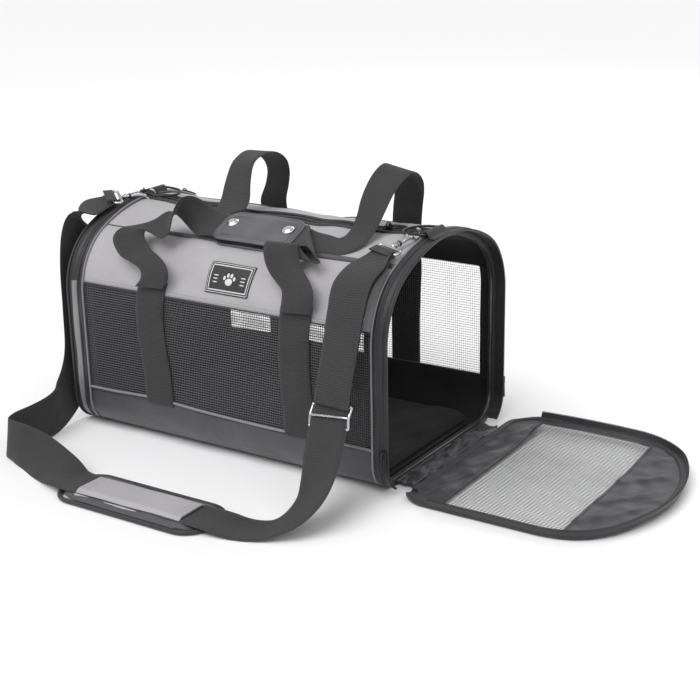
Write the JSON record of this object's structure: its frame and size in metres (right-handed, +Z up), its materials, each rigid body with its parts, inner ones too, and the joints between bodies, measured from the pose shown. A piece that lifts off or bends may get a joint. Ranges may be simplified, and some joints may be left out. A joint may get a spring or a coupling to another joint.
{
  "type": "soft-sided pet carrier bag",
  "caption": "Arched soft-sided pet carrier with netting sides, a drop-down end door, webbing handles with a snap grip, and a padded shoulder strap on hooks.",
  "frame": {"origin": "on the floor, under the middle of the shell", "axes": "+X along the bag towards the open end door, -Y towards the near side with the badge and the strap, +Z up"},
  "size_m": [0.7818, 0.479, 0.3353],
  "materials": {
    "dark_fabric": "dark grey woven polyester",
    "grey_fabric": "light grey coated polyester",
    "netting": "black open netting",
    "lining": "black plush and lining",
    "webbing": "charcoal woven webbing",
    "leatherette": "fine-grained leatherette",
    "label": "woven badge",
    "zip_tape": "zip tape with nylon coil",
    "board": "stiffening board",
    "spring_steel": "spring wire",
    "hook_steel": "nickel-plated cast metal",
    "dark_metal": "black-plated metal",
    "snap_steel": "polished snap caps"
  },
  "bodies": {
    "shell": {"base_tray": "dark_fabric", "base_board": "board", "floor_mat": "lining", "near_mesh_panel": "netting", "far_mesh_panel": "netting", "near_upper_panel": "grey_fabric", "far_upper_panel": "grey_fabric", "near_top_piping": "dark_fabric", "near_top_panel": "grey_fabric", "far_top_panel": "grey_fabric", "top_zip_tape": "zip_tape", "left_arch_wire": "spring_steel", "right_arch_wire": "spring_steel", "left_arch_binding": "dark_fabric", "right_arch_binding": "dark_fabric", "right_zip_tape": "zip_tape", "left_zip_tape": "zip_tape", "left_gusset": "grey_fabric", "left_lower_panel": "dark_fabric", "left_upper_panel": "dark_fabric", "right_door_sill": "dark_fabric", "near_left_anchor": "webbing", "near_right_anchor": "webbing", "far_left_anchor": "webbing", "far_right_anchor": "webbing", "label_patch": "label", "left_ring_tab": "webbing", "right_ring_tab": "webbing"},
    "right_door": {"door_panel": "dark_fabric", "door_mesh": "netting", "door_binding": "dark_fabric", "door_zip_tape": "zip_tape"},
    "near_door_slider": {"near_door_slider": "dark_metal"},
    "near_door_pull": {"near_door_pull": "dark_metal"},
    "far_door_slider": {"far_door_slider": "dark_metal"},
    "far_door_pull": {"far_door_pull": "dark_metal"},
    "top_slider": {"top_slider": "dark_metal"},
    "top_pull": {"top_pull": "dark_metal"},
    "left_slider": {"left_slider": "dark_metal"},
    "left_pull": {"left_pull": "dark_metal"},
    "left_ring": {"left_ring": "dark_metal"},
    "right_ring": {"right_ring": "dark_metal"},
    "handles": {"near_handle": "webbing", "far_handle": "webbing", "grip_back": "leatherette"},
    "grip_flap": {"grip_flap": "leatherette", "left_snap_cap": "snap_steel", "right_snap_cap": "snap_steel"},
    "strap": {"shoulder_strap": "webbing", "strap_tail": "webbing", "strap_adjuster": "hook_steel", "strap_pad": "dark_fabric", "pad_sleeve": "grey_fabric", "left_hook_eye": "hook_steel", "right_hook_eye": "hook_steel"},
    "left_hook": {"left_hook": "hook_steel"},
    "left_gate": {"left_hook_gate": "dark_metal"},
    "right_hook": {"right_hook": "hook_steel"},
    "right_gate": {"right_hook_gate": "dark_metal"}
  },
  "joints": [
    {"name": "right_door_hinge", "type": "hinge", "parent": "shell", "child": "right_door", "pos_m": [0.243, 0, 0.008], "axis": [0, -1, 0], "range_deg": [0, 90]},
    {"name": "near_door_zip", "type": "slide", "parent": "shell", "child": "near_door_slider", "axis": [0, 0, 1], "range_m": [0, 0.118]},
    {"name": "near_door_pull_swing", "type": "hinge", "parent": "near_door_slider", "child": "near_door_pull", "pos_m": [0.2253, -0.1458, 0.052], "axis": [-1, 0, 0], "range_deg": [0, 150]},
    {"name": "far_door_zip", "type": "slide", "parent": "shell", "child": "far_door_slider", "axis": [0, 0, 1], "range_m": [0, 0.118]},
    {"name": "far_door_pull_swing", "type": "hinge", "parent": "far_door_slider", "child": "far_door_pull", "pos_m": [0.2253, 0.1458, 0.052], "axis": [1, 0, 0], "range_deg": [0, 150]},
    {"name": "top_zip", "type": "slide", "parent": "shell", "child": "top_slider", "axis": [-1, 0, 0], "range_m": [0, 0.28]},
    {"name": "top_pull_swing", "type": "hinge", "parent": "top_slider", "child": "top_pull", "pos_m": [0.148, 0, 0.2741], "axis": [0, -1, 0], "range_deg": [0, 45]},
    {"name": "left_end_zip", "type": "hinge", "parent": "shell", "child": "left_slider", "pos_m": [-0.2245, 0, 0.073], "axis": [1, 0, 0], "range_deg": [0, 26]},
    {"name": "left_pull_swing", "type": "hinge", "parent": "left_slider", "child": "left_pull", "pos_m": [-0.2245, 0.08399, 0.26165], "axis": [1, 0, 0], "range_deg": [0, 150]},
    {"name": "left_ring_tilt", "type": "hinge", "parent": "shell", "child": "left_ring", "pos_m": [-0.214, 0.0096, 0.2766], "axis": [0, -1, 0], "range_deg": [-4, 4]},
    {"name": "right_ring_tilt", "type": "hinge", "parent": "shell", "child": "right_ring", "pos_m": [0.214, -0.0114, 0.2766], "axis": [0, 1, 0], "range_deg": [-4, 4]},
    {"name": "handle_lift", "type": "slide", "parent": "shell", "child": "handles", "axis": [0, 0, 1], "range_m": [0, 0.06]},
    {"name": "grip_flap_hinge", "type": "hinge", "parent": "handles", "child": "grip_flap", "pos_m": [0.016, -0.04888, 0.27719], "axis": [-1, 0, 0], "range_deg": [0, 100]},
    {"name": "strap_swing", "type": "hinge", "parent": "shell", "child": "strap", "pos_m": [0.0005, -0.0225, 0.2766], "axis": [-0.9987, 0.0515, 0], "range_deg": [0, 100]},
    {"name": "left_hook_swivel", "type": "hinge", "parent": "strap", "child": "left_hook", "pos_m": [-0.203, -0.012, 0.2766], "axis": [-0.6178, -0.7863, -0.0084], "range_deg": [-8, 8]},
    {"name": "left_gate_hinge", "type": "hinge", "parent": "left_hook", "child": "left_gate", "pos_m": [-0.21041, -0.0215, 0.2821], "axis": [-0.7863, 0.6178, 0.0066], "range_deg": [0, 10], "stiffness_Nm_per_rad": 0.05},
    {"name": "right_hook_swivel", "type": "hinge", "parent": "strap", "child": "right_hook", "pos_m": [0.204, -0.033, 0.2766], "axis": [-0.3114, -0.9187, -0.2429], "range_deg": [-8, 8]},
    {"name": "right_gate_hinge", "type": "hinge", "parent": "right_hook", "child": "right_gate", "pos_m": [0.20026, -0.04546, 0.2791], "axis": [-0.9503, 0.3011, 0.0796], "range_deg": [0, 10], "stiffness_Nm_per_rad": 0.05}
  ]
}
